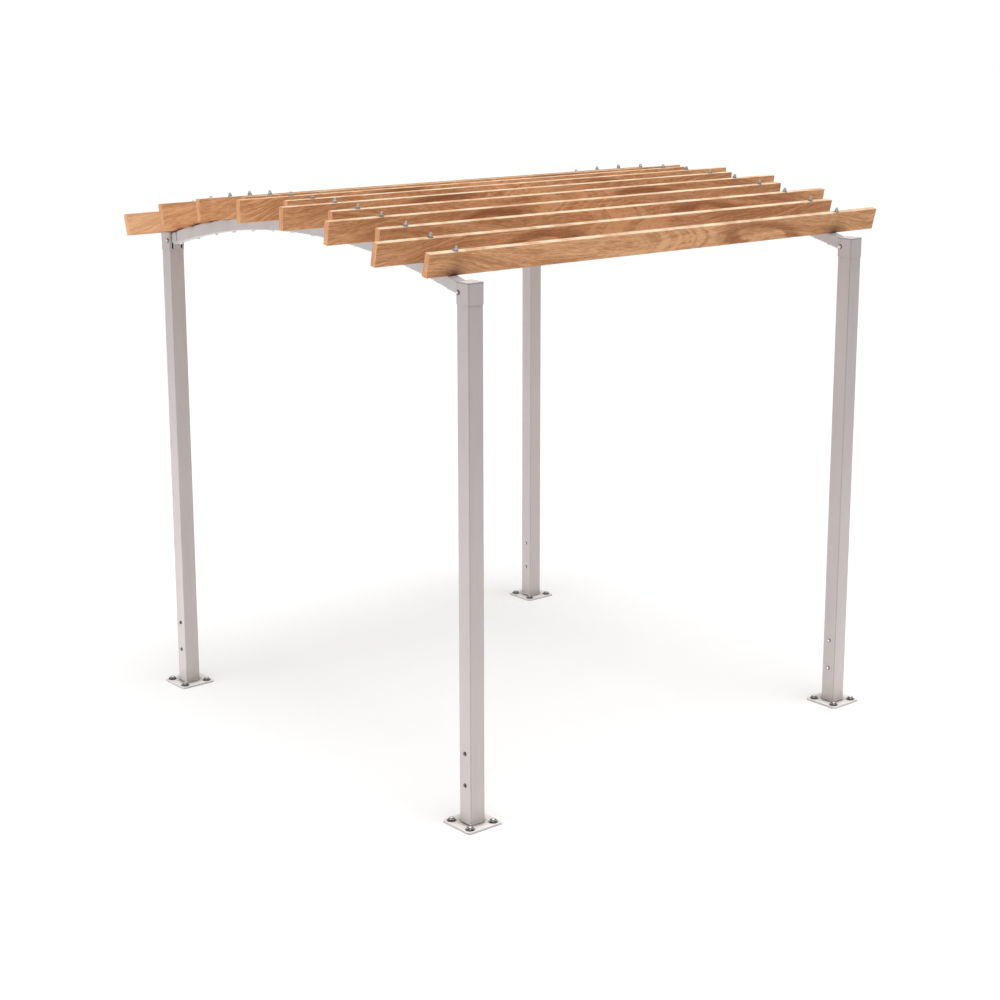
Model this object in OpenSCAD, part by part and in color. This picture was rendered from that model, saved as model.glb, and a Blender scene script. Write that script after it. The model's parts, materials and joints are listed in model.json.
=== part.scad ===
// Open garden pergola: four square steel posts on bolted base plates, two arched
// steel beams and a row of timber slats standing on edge across them.
// X runs along the slats, Y runs along the arched beams, Z is up from the ground.
// The origin is on the ground, at the centre of the plan.

/* [Plan] */
// Distance between post centres along the slats
post_spacing_x = 2565; // [1500:5:4000]
// Distance between post centres along the arched beams
post_spacing_y = 2565; // [2200:5:3000]

/* [Posts] */
// Outside width of the square post tube
post_width = 85; // [70:1:120]
// Wall of the post tube
post_wall = 4; // [3:0.5:6]
// Outside corner radius of the post tube
post_corner = 6; // [4.5:0.5:10]
// Height of the post tops above the ground
post_top = 2570; // [2200:5:2900]
// Slot between the base plate and the foot of the post tube
post_lift = 8; // [2:1:20]

/* [Feet] */
// Width of the square base plate
plate_width = 205; // [180:5:300]
// Thickness of the base plate
plate_thickness = 10; // [6:1:20]
// Corner radius of the base plate
plate_corner = 16; // [4:1:30]
// Distance between the anchor holes, both ways
anchor_spacing = 140; // [130:1:150]
// Diameter of the anchor holes
anchor_hole = 22; // [12:1:24]
// Height of the sleeve that stands inside the post
sleeve_height = 400; // [380:5:600]
// Wall of the sleeve
sleeve_wall = 5; // [3:0.5:8]
// Sliding clearance between the sleeve and the post, each side
sleeve_clearance = 0.3; // [0.2:0.1:0.6]
// Height of the lower foot screw above the ground
foot_screw_low = 200; // [120:5:240]
// Height of the upper foot screw above the ground
foot_screw_high = 358; // [300:2:370]
// Diameter of the foot screw holes
foot_screw_hole = 9; // [6:0.5:12]

/* [Post heads] */
// Wall of the collar round the head of the post
collar_wall = 3; // [2:0.5:6]
// Height of the collar
collar_height = 100; // [95:1:140]
// Thickness of the lid in the top of the post
cap_thickness = 5; // [3:0.5:10]
// Clearance round the lid, each side
cap_clearance = 0.3; // [0.1:0.1:0.6]
// Distance from the inner face of the post to the head bolt
head_bolt_inset = 14.5; // [10:0.5:20]
// Distance from the top of the post to the head bolt
head_bolt_drop = 47; // [44:0.5:50]
// Diameter of the head bolt holes
head_bolt_hole = 13; // [9:0.5:14]

/* [Arched beams] */
// Radius of the underside of the arched beam
arch_radius = 4624; // [4000:4:5400]
// Distance from the top of the post down to the top of the beam, where they meet
beam_seat = 3.5; // [0:0.5:10]
// Depth of the beam section
beam_depth = 64; // [60:1:72]
// Width of the beam section
beam_width = 50; // [36:1:52]
// Wall of the beam section
beam_wall = 4; // [3:0.5:6]
// Outside corner radius of the beam section
beam_corner = 8; // [6.5:0.5:12]

/* [Beam lugs] */
// Thickness of each lug on the side of the beam
lug_thickness = 6; // [4:0.5:7]
// Length of the lug along the side of the beam
lug_length = 44; // [20:1:80]
// Length of the lug inside the post
lug_reach = 40; // [24:1:60]
// Distance from the top of the beam to the top of the lug
lug_drop = 8; // [6:1:12]
// Depth of the lug
lug_depth = 46; // [40:1:50]
// Width of the slot that each lug enters
slot_width = 10; // [8:0.5:11]
// Height of the post's lug slots
slot_height = 84; // [82:1:88]
// Post wall left between the lid and the lug slots
slot_margin = 3; // [1:0.5:6]

/* [Slats] */
// Number of slats
slat_count = 14; // [4:1:14]
// Distance from the front posts to the middle of the first slat, along the top of the beam
first_slat_gap = 88; // [30:1:150]
// Distance from the rear posts to the middle of the last slat, along the top of the beam
last_slat_gap = 34; // [30:1:150]
// Length of each slat
slat_length = 3030; // [2800:10:3600]
// Depth of each slat, standing on edge
slat_depth = 112; // [60:1:180]
// Thickness of each slat
slat_thickness = 34; // [24:1:45]
// Sideways shift of alternate slats, either way
slat_stagger = 75; // [0:5:150]
// Radius of the eased long edges of a slat
slat_edge = 3; // [1:0.5:6]
// Diameter of the bolt holes through slats and beams
slat_bolt_hole = 12; // [8:0.5:14]

/* [Hidden] */
$fn = 48;
// Fragments of the large arcs of the beams
arch_fn = 720;
// Overrun of the cuts
eps = 1;
// Height of the blocks that cut the beam, taller than the pergola
tall = 2 * post_top;
half_x = post_spacing_x / 2;
half_y = post_spacing_y / 2;

post_bottom = plate_thickness + post_lift;
bore_width = post_width - 2 * post_wall;
bore_corner = post_corner - post_wall;
sleeve_width = bore_width - 2 * sleeve_clearance;
sleeve_corner = bore_corner + sleeve_clearance;
lid_width = bore_width - 2 * cap_clearance;
collar_width = post_width + 2 * collar_wall;
inner_face = half_y - post_width / 2;
// Inner face of the collar, where the beam tube ends
collar_face = inner_face - collar_wall;

beam_top_radius = arch_radius + beam_depth;
// Height of the arch centre, well below the ground
arch_centre = post_top - beam_seat - sqrt(pow(beam_top_radius, 2) - pow(inner_face, 2));
// Angles from the crown to the posts and to the first and last slats
end_angle = asin(inner_face / beam_top_radius);
first_angle = first_slat_gap / beam_top_radius * 180 / PI - end_angle;
last_angle = end_angle - last_slat_gap / beam_top_radius * 180 / PI;
pitch_angle = (last_angle - first_angle) / (slat_count - 1);

lug_offset = (beam_width + lug_thickness) / 2;
// Depth that a lug's weld runs into the wall of the beam
weld_depth = 1;
slot_top = post_top - cap_thickness - slot_margin;
head_bolt_y = post_width / 2 - head_bolt_inset;
head_bolt_z = post_top - head_bolt_drop;

// Square with rounded corners, centred on the origin.
module rounded_square(width, radius) {
    rounded_rectangle(width, width, radius);
}

module rounded_rectangle(width, height, radius) {
    corner_x = width / 2 - radius;
    corner_y = height / 2 - radius;
    square([width, 2 * corner_y], center = true);
    square([2 * corner_x, height], center = true);
    for (x = [-corner_x, corner_x], y = [-corner_y, corner_y]) translate([x, y]) circle(r = radius);
}

// Moves what is drawn round one post's axis, with its inner face towards +Y,
// to a corner of the plan: side is -1 left or 1 right, end is -1 front or 1 rear.
module at_corner(side, end) {
    translate([side * half_x, end * half_y, 0]) scale([1, -end, 1]) children();
}

// Hole along X through everything at one post.
module cross_hole(diameter, y, z) {
    length = collar_width + 2 * eps;
    translate([0, y, z]) rotate([0, 90, 0]) cylinder(d = diameter, h = length, center = true);
}

module foot_screw_holes() {
    for (z = [foot_screw_low, foot_screw_high]) cross_hole(foot_screw_hole, 0, z);
}

// Two slots through the inner walls of post and collar, for the lugs of the beam.
module lug_slots() {
    slot_base = slot_top - slot_height;
    for (side = [-1, 1])
        translate([side * lug_offset - slot_width / 2, bore_width / 2 - eps, slot_base])
            cube([slot_width, post_wall + collar_wall + 2 * eps, slot_height]);
}

// Square tube with open foot, two lug slots in its inner wall and cross holes.
module post() {
    color([0.72, 0.70, 0.68]) difference() {
        translate([0, 0, post_bottom]) linear_extrude(post_top - post_bottom) difference() {
            rounded_square(post_width, post_corner);
            rounded_square(bore_width, bore_corner);
        }
        lug_slots();
        cross_hole(head_bolt_hole, head_bolt_y, head_bolt_z);
        foot_screw_holes();
    }
}

// Base plate with four anchor holes.
module base_plate() {
    reach = anchor_spacing / 2;
    color([0.80, 0.78, 0.76]) difference() {
        linear_extrude(plate_thickness) rounded_square(plate_width, plate_corner);
        for (x = [-reach, reach], y = [-reach, reach]) translate([x, y, -eps])
            cylinder(d = anchor_hole, h = plate_thickness + 2 * eps);
    }
}

// Square tube welded upright on the base plate, which the post slides over.
module sleeve() {
    color([0.72, 0.70, 0.68]) difference() {
        translate([0, 0, plate_thickness]) linear_extrude(sleeve_height - plate_thickness) difference() {
            rounded_square(sleeve_width, sleeve_corner);
            rounded_square(sleeve_width - 2 * sleeve_wall, sleeve_corner);
        }
        foot_screw_holes();
    }
}

// Collar fitted round the head of the post.
module collar() {
    color([0.72, 0.70, 0.68]) difference() {
        translate([0, 0, post_top - collar_height]) linear_extrude(collar_height) difference() {
            rounded_square(collar_width, post_corner + collar_wall);
            rounded_square(post_width, post_corner);
        }
        lug_slots();
        cross_hole(head_bolt_hole, head_bolt_y, head_bolt_z);
    }
}

// Flat lid let into the top of the post tube.
module cap() {
    color([0.85, 0.83, 0.81]) translate([0, 0, post_top - cap_thickness])
        linear_extrude(cap_thickness) rounded_square(lid_width, bore_corner);
}

// Turns children drawn at the crown, measured out from the arch centre, by an angle towards +Y.
module on_arch(angle) {
    translate([0, 0, arch_centre]) rotate([-angle, 0, 0]) children();
}

// Sweeps a section along the arch, from one end of the beam to the other.
// The section is drawn with its distance from the arch centre along X and the beam's width along Y.
module sweep_arch(reach) {
    sweep = asin((reach + beam_depth) / arch_radius);
    translate([0, 0, arch_centre]) rotate([0, -90, 0]) rotate([0, 0, -sweep])
        rotate_extrude(angle = 2 * sweep, $fn = arch_fn) children();
}

// Block that spans the beam's length out to reach on each side of the crown.
module span_block(reach) {
    translate([-post_width / 2, -reach, 0]) cube([post_width, 2 * reach, tall]);
}

// Rectangular tube bent to an arc, from the collar of one post to the other.
module beam_tube() {
    intersection() {
        sweep_arch(inner_face) translate([arch_radius + beam_depth / 2, 0]) difference() {
            rounded_rectangle(beam_depth, beam_width, beam_corner);
            rounded_rectangle(beam_depth - 2 * beam_wall, beam_width - 2 * beam_wall,
                beam_corner - beam_wall);
        }
        span_block(collar_face);
    }
}

// The lugs at both ends of one side of the beam; side is -1 or 1.
module beam_lugs(side) {
    lug_middle = beam_top_radius - lug_drop - lug_depth / 2;
    difference() {
        intersection() {
            sweep_arch(inner_face + lug_reach) translate([lug_middle, side * (lug_offset - weld_depth / 2)])
                square([lug_depth, lug_thickness + weld_depth], center = true);
            span_block(inner_face + lug_reach);
        }
        span_block(inner_face - lug_length);
    }
}

// Arched beam with its lugs, drilled for the head bolts and the slat bolts.
module beam() {
    color([0.72, 0.70, 0.68]) difference() {
        union() {
            beam_tube();
            beam_lugs(-1);
            beam_lugs(1);
        }
        for (end = [-1, 1]) cross_hole(head_bolt_hole, end * (half_y - head_bolt_y), head_bolt_z);
        for (i = [0 : slat_count - 1]) on_arch(slat_angle(i)) translate([0, 0, arch_radius - eps])
            cylinder(d = slat_bolt_hole, h = beam_depth + 2 * eps);
    }
}

// Angle of a slat from the crown; slats count from 0 at the front.
function slat_angle(i) = first_angle + i * pitch_angle;

// Board on edge across the beams; every second one sits further left.
module slat(i) {
    shift = i % 2 == 0 ? slat_stagger : -slat_stagger;
    color([0.76, 0.55, 0.38]) on_arch(slat_angle(i)) difference() {
        translate([shift, 0, beam_top_radius + slat_depth / 2]) rotate([90, 0, 90])
            translate([0, 0, -slat_length / 2]) linear_extrude(slat_length)
                rounded_rectangle(slat_thickness, slat_depth, slat_edge);
        for (side = [-1, 1]) translate([side * half_x, 0, beam_top_radius - eps])
            cylinder(d = slat_bolt_hole, h = slat_depth + 2 * eps);
    }
}

at_corner(-1, -1) post();  // post_front_left
at_corner(1, -1) post();  // post_front_right
at_corner(-1, 1) post();  // post_rear_left
at_corner(1, 1) post();  // post_rear_right
at_corner(-1, -1) base_plate();  // plate_front_left
at_corner(1, -1) base_plate();  // plate_front_right
at_corner(-1, 1) base_plate();  // plate_rear_left
at_corner(1, 1) base_plate();  // plate_rear_right
at_corner(-1, -1) sleeve();  // sleeve_front_left
at_corner(1, -1) sleeve();  // sleeve_front_right
at_corner(-1, 1) sleeve();  // sleeve_rear_left
at_corner(1, 1) sleeve();  // sleeve_rear_right
at_corner(-1, -1) collar();  // collar_front_left
at_corner(1, -1) collar();  // collar_front_right
at_corner(-1, 1) collar();  // collar_rear_left
at_corner(1, 1) collar();  // collar_rear_right
at_corner(-1, -1) cap();  // cap_front_left
at_corner(1, -1) cap();  // cap_front_right
at_corner(-1, 1) cap();  // cap_rear_left
at_corner(1, 1) cap();  // cap_rear_right
translate([-half_x, 0, 0]) beam();  // beam_left
translate([half_x, 0, 0]) beam();  // beam_right
slat(0);  // slat_01
slat(1);  // slat_02
slat(2);  // slat_03
slat(3);  // slat_04
slat(4);  // slat_05
slat(5);  // slat_06
slat(6);  // slat_07
slat(7);  // slat_08
slat(8);  // slat_09
slat(9);  // slat_10
slat(10);  // slat_11
slat(11);  // slat_12
slat(12);  // slat_13
slat(13);  // slat_14
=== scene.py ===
import json
import math

import bmesh
import bpy
from mathutils import Matrix, Vector


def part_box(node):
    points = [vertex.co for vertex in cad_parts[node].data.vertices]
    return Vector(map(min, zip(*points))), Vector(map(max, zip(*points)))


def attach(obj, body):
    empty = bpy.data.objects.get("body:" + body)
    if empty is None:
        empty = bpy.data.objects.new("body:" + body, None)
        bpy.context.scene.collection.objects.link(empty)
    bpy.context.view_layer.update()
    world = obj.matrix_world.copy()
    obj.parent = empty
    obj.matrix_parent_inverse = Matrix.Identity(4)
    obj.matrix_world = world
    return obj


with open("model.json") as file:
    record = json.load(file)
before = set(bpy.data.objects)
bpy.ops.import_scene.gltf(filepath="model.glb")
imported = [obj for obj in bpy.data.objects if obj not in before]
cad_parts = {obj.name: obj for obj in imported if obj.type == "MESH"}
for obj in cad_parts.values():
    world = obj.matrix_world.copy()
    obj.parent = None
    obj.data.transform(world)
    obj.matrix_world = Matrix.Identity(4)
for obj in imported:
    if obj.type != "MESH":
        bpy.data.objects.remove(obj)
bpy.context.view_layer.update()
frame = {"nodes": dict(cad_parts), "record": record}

# Pergola: four steel posts on base plates, two arched steel beams and fourteen timber slats.
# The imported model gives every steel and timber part. This script adds the bolts, nuts, screws
# and welds, finishes all surfaces and sets up floor, light and camera. Sizes are in metres.

corners = ["front_left", "front_right", "rear_left", "rear_right"]
slats = sorted(name for name in frame["nodes"] if name.startswith("slat_"))

# Bolts that hold the slats on the beams. Flats is always the width across flats.
bolt_shank = 0.0118
washer_width = 0.022
washer_height = 0.0025
nut_flats = 0.018
nut_height = 0.009
cap_nut_height = 0.022
bolt_head_height = 0.0052

# Bolts that hold the beam ends in the post heads.
head_washer_width = 0.024
head_washer_height = 0.0022
head_bolt_flats = 0.0185
head_bolt_height = 0.0058
stud_end = 0.0026

# Screws through the foot of each post.
screw_shank = 0.0085
screw_washer_width = 0.020
screw_washer_height = 0.0014
screw_flats = 0.0155
screw_head_height = 0.0056
screw_dome_width = 0.016
screw_dome_height = 0.0062

# Ground anchors.
anchor_shank = 0.0198
anchor_washer_width = 0.0435
anchor_washer_height = 0.0038
anchor_nut_flats = 0.031
anchor_nut_height = 0.007
anchor_dome_height = 0.0072

# Weld between sleeve and base plate.
weld_leg = 0.0022
weld_corner = 0.005

# How far one part of a fastener is sunk into the next, so that they are one solid.
sunk = 0.0002

# A barrel this much wider than a hexagon's corners leaves their upright edges whole.
past_corners = 1.02


# ---- places taken from the frame

def middle(node):
    """Middle of a CAD node's box."""
    low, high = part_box(node)
    return (low + high) / 2


def node_points(node, keep):
    """Corners of a CAD node's mesh that pass a test, which is given each corner and the box."""
    low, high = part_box(node)
    vertices = frame["nodes"][node].data.vertices
    return [vertex.co.copy() for vertex in vertices if keep(vertex.co, low, high)]


def anywhere(co, low, high):
    """Test that every corner passes."""
    return True


def hole_middles(values, apart=0.02):
    """Middles of the runs into which nearby values fall: one for each hole of a row."""
    runs = []
    for value in sorted(values):
        if runs and value - runs[-1][-1] < apart:
            runs[-1].append(value)
        else:
            runs.append([value])
    return [(run[0] + run[-1]) / 2 for run in runs]


def centre_of_arch():
    """Point in the YZ plane at the same distance from the middles of all slats."""
    a, b, c = [middle(slats[i]) for i in (0, len(slats) // 2, -1)]
    ab, ac = b - a, c - a
    cross = 2 * (ab.y * ac.z - ab.z * ac.y)
    ab2, ac2 = ab.y ** 2 + ab.z ** 2, ac.y ** 2 + ac.z ** 2
    return Vector((0, a.y + (ac.z * ab2 - ab.z * ac2) / cross,
                   a.z + (ab.y * ac2 - ac.y * ab2) / cross))


arch_centre = centre_of_arch()
beam_x = middle("beam_right").x


def slat_angle(slat):
    """Angle of a slat from the crown, towards the rear."""
    out = middle(slat) - arch_centre
    return math.atan2(out.y, out.z)


def on_arch(angle, x, reach):
    """Places a piece drawn about Z on the arch: Z points outwards, reach is measured from the
    arch's centre."""
    return (Matrix.Translation(arch_centre) @ Matrix.Rotation(-angle, 4, "X")
            @ Matrix.Translation((x, 0, reach)))


def edge_reach(node, angle):
    """Distances of a part's inner and outer edge from the arch centre, measured along an angle."""
    out = Vector((0, math.sin(angle), math.cos(angle)))
    reach = [(point - arch_centre).dot(out) for point in node_points(node, anywhere)]
    return min(reach), max(reach)


# ---- modelling by hand

def clear_selection():
    """Nothing selected and nothing active."""
    for thing in bpy.context.selected_objects:
        thing.select_set(False)
    bpy.context.view_layer.objects.active = None


def pick(thing):
    """Selects one object alone and makes it active."""
    clear_selection()
    thing.select_set(True)
    bpy.context.view_layer.objects.active = thing


def pick_parts(thing, kind, keep):
    """In edit mode, selects alone the vertices, edges or faces that pass a test."""
    bpy.ops.mesh.select_mode(type=kind)
    bpy.ops.mesh.select_all(action="DESELECT")
    mesh = bmesh.from_edit_mesh(thing.data)
    for part in {"VERT": mesh.verts, "EDGE": mesh.edges, "FACE": mesh.faces}[kind]:
        part.select_set(keep(part))
    bmesh.update_edit_mesh(thing.data)


def turned(name, profile, sides=24):
    """Solid about Z, raised ring by ring through the (radius, height) pairs of its profile."""
    (radius, foot), (second_radius, second_height) = profile[:2]
    clear_selection()
    bpy.ops.mesh.primitive_cylinder_add(vertices=sides, radius=radius, depth=second_height - foot,
                                        location=(0, 0, (second_height + foot) / 2))
    thing = bpy.context.object
    thing.name = name
    bpy.ops.object.transform_apply(location=True, rotation=True, scale=True)
    bpy.ops.object.mode_set(mode="EDIT")
    pick_parts(thing, "FACE", lambda face: face.normal.z > 0.5)
    grow = second_radius / radius
    bpy.ops.transform.resize(value=(grow, grow, 1), center_override=(0, 0, 0))
    radius, height = second_radius, second_height
    for next_radius, next_height in profile[2:]:
        grow = next_radius / radius
        rise = (0, 0, next_height - height)
        bpy.ops.mesh.extrude_region_move(TRANSFORM_OT_translate={"value": rise})
        bpy.ops.transform.resize(value=(grow, grow, 1), center_override=(0, 0, 0))
        radius, height = next_radius, next_height
    bpy.ops.mesh.select_all(action="SELECT")
    bpy.ops.mesh.normals_make_consistent(inside=False)
    bpy.ops.object.mode_set(mode="OBJECT")
    return thing


def combine(target, tool, operation):
    """Adds the tool to the target, cuts it away or keeps what both share; the tool is used up."""
    pick(target)
    modifier = target.modifiers.new("combine", "BOOLEAN")
    modifier.operation = operation
    modifier.solver = "EXACT"
    modifier.object = tool
    bpy.ops.object.modifier_apply(modifier=modifier.name)
    bpy.data.objects.remove(tool)
    return target


def smooth(thing, degrees=32):
    """Shades gentle angles smooth and leaves sharp ones."""
    pick(thing)
    bpy.ops.object.shade_smooth_by_angle(angle=math.radians(degrees))
    return thing


def hexagon(name, flats, foot, height, chamfer_foot=False, face=0.97, slope=0.62):
    """Hexagon prism from foot upwards, its corners chamfered at the top and, if asked, at the
    foot. Face is the width of the top face as a share of the width across flats, slope how
    steeply the chamfer falls from it."""
    corner = flats / math.sqrt(3)
    prism = turned(name, [(corner, foot), (corner, foot + height)], sides=6)
    wide = corner * past_corners
    lead = (corner - flats / 2) * 0.62
    fall = (corner - flats / 2 * face) * slope
    start = flats / 2 * 0.97 if chamfer_foot else wide
    barrel = turned("barrel", [(start, foot), (wide, foot + lead), (wide, foot + height - fall),
                               (flats / 2 * face, foot + height)], sides=36)
    return combine(prism, barrel, "INTERSECT")


def add_washer(thing, width, height):
    """Adds a flat washer with an eased upper edge, lying on z = 0, to a nut or head."""
    ease = height * 0.25
    rim = width / 2
    washer = turned("washer", [(rim, 0), (rim, height - ease), (rim - ease, height)])
    return combine(thing, washer, "UNION")


def add_shank(thing, width, foot, top):
    """Adds a round shank from foot to top to a nut or head."""
    return combine(thing, turned("shank", [(width / 2, foot), (width / 2, top)]), "UNION")


def dome_profile(radius, foot, top, rise, angles, taper=1.0):
    """Profile of a dome that rises above top on a straight skirt from foot. Angles, in degrees,
    are those of its rings; a taper over 1 makes it more pointed."""
    turns = [math.radians(angle) for angle in angles]
    return [(radius, foot), (radius, top)] + [
        (radius * math.cos(turn) ** taper, top + rise * math.sin(turn)) for turn in turns]


def bolt(length):
    """Bolt through a stack of parts from z = -length to z = 0, with washer and domed nut above."""
    seat = washer_height - sunk
    thing = hexagon("nut", nut_flats, seat, nut_height, chamfer_foot=True)
    profile = dome_profile(nut_flats / 2 * 0.88, seat + nut_height / 2, seat + nut_height,
                           cap_nut_height - nut_height, (14, 28, 42, 56, 70, 82), taper=1.2)
    combine(thing, turned("dome", profile), "UNION")
    add_washer(thing, washer_width, washer_height)
    return smooth(add_shank(thing, bolt_shank, -length - sunk, washer_height + sunk))


def bolt_head():
    """Low head of the same bolt, hanging from z = 0."""
    thing = hexagon("bolt_head", nut_flats, washer_height - sunk, bolt_head_height)
    add_washer(thing, washer_width, washer_height)
    thing.data.transform(Matrix.Rotation(math.pi, 4, "X"))
    return smooth(thing)


def head_bolt_outside(length):
    """Head bolt from outside the post: hexagon head on its washer, with half of the shank."""
    thing = hexagon("head_bolt", head_bolt_flats, head_washer_height - sunk, head_bolt_height,
                    face=0.66, slope=0.85)
    add_washer(thing, head_washer_width, head_washer_height)
    return smooth(add_shank(thing, bolt_shank, -length / 2, head_washer_height / 2))


def head_bolt_inside(length):
    """Head bolt from inside: hexagon nut on its washer, rounded end of the bolt, half shank."""
    seat = head_washer_height - sunk
    top = seat + head_bolt_height
    thing = hexagon("head_nut", head_bolt_flats, seat, head_bolt_height)
    add_washer(thing, head_washer_width, head_washer_height)
    rim = bolt_shank / 2
    stud = turned("stud", [(rim, -length / 2), (rim, top + stud_end * 0.4),
                           (rim * 0.9, top + stud_end * 0.8), (rim * 0.7, top + stud_end)])
    return smooth(combine(thing, stud, "UNION"))


def foot_screw_head(length):
    """Foot screw from outside the post: hexagon head on a washer, with half of the shank."""
    thing = hexagon("screw_head", screw_flats, screw_washer_height - sunk, screw_head_height,
                    face=0.7, slope=0.8)
    add_washer(thing, screw_washer_width, screw_washer_height)
    return smooth(add_shank(thing, screw_shank, -length / 2, screw_washer_height / 2))


def foot_screw_nut(length):
    """Foot screw from inside the post: domed nut on a washer, with half of the shank."""
    seat = screw_washer_height - sunk
    skirt = screw_dome_height * 0.3
    thing = turned("dome", dome_profile(screw_dome_width / 2, seat, seat + skirt,
                                        screw_dome_height - skirt, (18, 36, 52, 66, 80)))
    add_washer(thing, screw_washer_width, screw_washer_height)
    return smooth(add_shank(thing, screw_shank, -length / 2, screw_washer_height / 2))


def anchor(plate_thickness):
    """Ground anchor above a base plate: washer, domed nut, and the shank in the plate."""
    seat = anchor_washer_height - sunk
    top = seat + anchor_nut_height
    thing = hexagon("anchor", anchor_nut_flats, seat, anchor_nut_height)
    profile = dome_profile(anchor_nut_flats / 2 * 0.9, top - anchor_nut_height / 2, top,
                           anchor_dome_height, (18, 36, 54, 72, 84))
    combine(thing, turned("dome", profile), "UNION")
    add_shank(thing, anchor_shank, -plate_thickness, seat + sunk)
    return smooth(add_washer(thing, anchor_washer_width, anchor_washer_height))


def laid_out(name, pattern, places):
    """Copies a pattern to every place, each copy with its own mesh, and joins them as one piece."""
    copies = []
    for place in places:
        copy = pattern.copy()
        copy.data = pattern.data.copy()
        copy.data.transform(place)
        bpy.context.scene.collection.objects.link(copy)
        copies.append(copy)
    clear_selection()
    for copy in copies:
        copy.select_set(True)
    bpy.context.view_layer.objects.active = copies[0]
    bpy.ops.object.join()
    joined = bpy.context.object
    joined.name = joined.data.name = name
    return joined


def finish_piece(piece, finish):
    """Gives a new piece its material and hangs it from the root body."""
    piece.data.materials.clear()
    piece.data.materials.append(finish)
    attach(piece, "root")
    return piece


# ---- nodes

class Bench:
    """Adds nodes to one node tree and links them."""

    def __init__(self, tree):
        self.tree = tree

    def add(self, kind, **settings):
        """New shader node of one kind, with its settings by name."""
        node = self.tree.nodes.new("ShaderNode" + kind)
        for key, value in settings.items():
            setattr(node, key, value)
        return node

    def feed(self, socket, value):
        """Links a socket to another, or sets it to a plain value."""
        if isinstance(value, bpy.types.NodeSocket):
            self.tree.links.new(value, socket)
        else:
            socket.default_value = value

    def math(self, operation, *values, clamp=False):
        """Sum on values or sockets."""
        node = self.add("Math", operation=operation, use_clamp=clamp)
        for socket, value in zip(node.inputs, values):
            self.feed(socket, value)
        return node.outputs[0]

    def times(self, first, second, clamp=False):
        """First times second."""
        return self.math("MULTIPLY", first, second, clamp=clamp)

    def times_plus(self, first, second, base):
        """First times second, on top of a base."""
        return self.math("MULTIPLY_ADD", first, second, base)

    def vector(self, operation, *values):
        """The same on vectors."""
        node = self.add("VectorMath", operation=operation)
        for socket, value in zip(node.inputs, values):
            self.feed(socket, value)
        return node.outputs["Value"] if operation in ("DOT_PRODUCT", "LENGTH") else node.outputs[0]

    def place(self):
        """Object coordinates, in metres."""
        return self.add("TexCoord").outputs["Object"]

    def facing(self):
        """Way that the surface faces."""
        return self.add("NewGeometry").outputs["Normal"]

    def axes(self, vector):
        """X, Y and Z of a vector."""
        node = self.add("SeparateXYZ")
        self.feed(node.inputs[0], vector)
        return node.outputs

    def spot(self, x, y, z=0.0):
        """Vector made of three values."""
        node = self.add("CombineXYZ")
        for socket, value in zip(node.inputs, (x, y, z)):
            self.feed(socket, value)
        return node.outputs[0]

    def stretch(self, vector, scale):
        """Vector with its axes scaled: for noise of scale 1, the marks per metre along each."""
        return self.vector("MULTIPLY", vector, scale)

    def spread(self, value, low, high, to_low=0.0, to_high=1.0):
        """Value between low and high, spread smoothly from to_low to to_high."""
        node = self.add("MapRange", interpolation_type="SMOOTHSTEP")
        for socket, number in zip(node.inputs, (value, low, high, to_low, to_high)):
            self.feed(socket, number)
        return node.outputs[0]

    def noise(self, vector, scale, detail=2.0, roughness=0.5, seed=None):
        """Noise from 0 to 1. Scale is in marks per metre; a seed gives each use its own."""
        node = self.add("TexNoise", noise_dimensions="3D" if seed is None else "4D")
        self.feed(node.inputs["Vector"], vector)
        self.feed(node.inputs["Scale"], scale)
        self.feed(node.inputs["Detail"], detail)
        self.feed(node.inputs["Roughness"], roughness)
        if seed is not None:
            self.feed(node.inputs["W"], seed)
        return node.outputs[0]

    def blend(self, factor, first, second, kind="MIX"):
        """Mixes two colours."""
        node = self.add("Mix", data_type="RGBA", blend_type=kind)
        self.feed(node.inputs[0], factor)
        self.feed(node.inputs[6], first)
        self.feed(node.inputs[7], second)
        return node.outputs[2]

    def blend_values(self, factor, first, second):
        """Mixes two values."""
        node = self.add("Mix", data_type="FLOAT")
        self.feed(node.inputs[0], factor)
        self.feed(node.inputs[2], first)
        self.feed(node.inputs[3], second)
        return node.outputs[0]

    def darkened(self, shade, mask, share):
        """Shade darkened by a share where the mask is 1."""
        kept = self.times_plus(mask, -share, 1.0)
        return kept if shade is None else self.times(shade, kept)

    def bell(self, value, sharpness):
        """1 where the value is 0, falling off to both sides of it."""
        return self.math("EXPONENT", self.times(self.times(value, value), -sharpness))

    def scaled(self, colour, amount):
        """Colour made lighter or darker by a factor."""
        node = self.add("VectorMath", operation="SCALE")
        self.feed(node.inputs[0], colour)
        self.feed(node.inputs["Scale"], amount)
        return node.outputs[0]

    def group(self, tree, **values):
        """Places a node group, its inputs given by name with _ for blanks."""
        node = self.add("Group", node_tree=tree)
        for key, value in values.items():
            self.feed(node.inputs[key.replace("_", " ")], value)
        return node.outputs


def start_group(name, inputs, outputs):
    """New shader node group; returns it, its bench, the sockets it is fed by and those it feeds."""
    tree = bpy.data.node_groups.new(name, "ShaderNodeTree")
    for label, (kind, value) in inputs.items():
        socket = tree.interface.new_socket(name=label, in_out="INPUT",
                                           socket_type="NodeSocket" + kind)
        socket.default_value = value
    for label, kind in outputs.items():
        tree.interface.new_socket(name=label, in_out="OUTPUT", socket_type="NodeSocket" + kind)
    entry = tree.nodes.new("NodeGroupInput").outputs
    leave = tree.nodes.new("NodeGroupOutput").inputs
    return tree, Bench(tree), entry, leave


def grey(value):
    """Neutral colour."""
    return (value, value, value, 1.0)


# What the group of a finish puts out. Height is for a bump, as a share of its depth.
finish_outputs = {"Color": "Color", "Roughness": "Float", "Height": "Float"}


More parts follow.
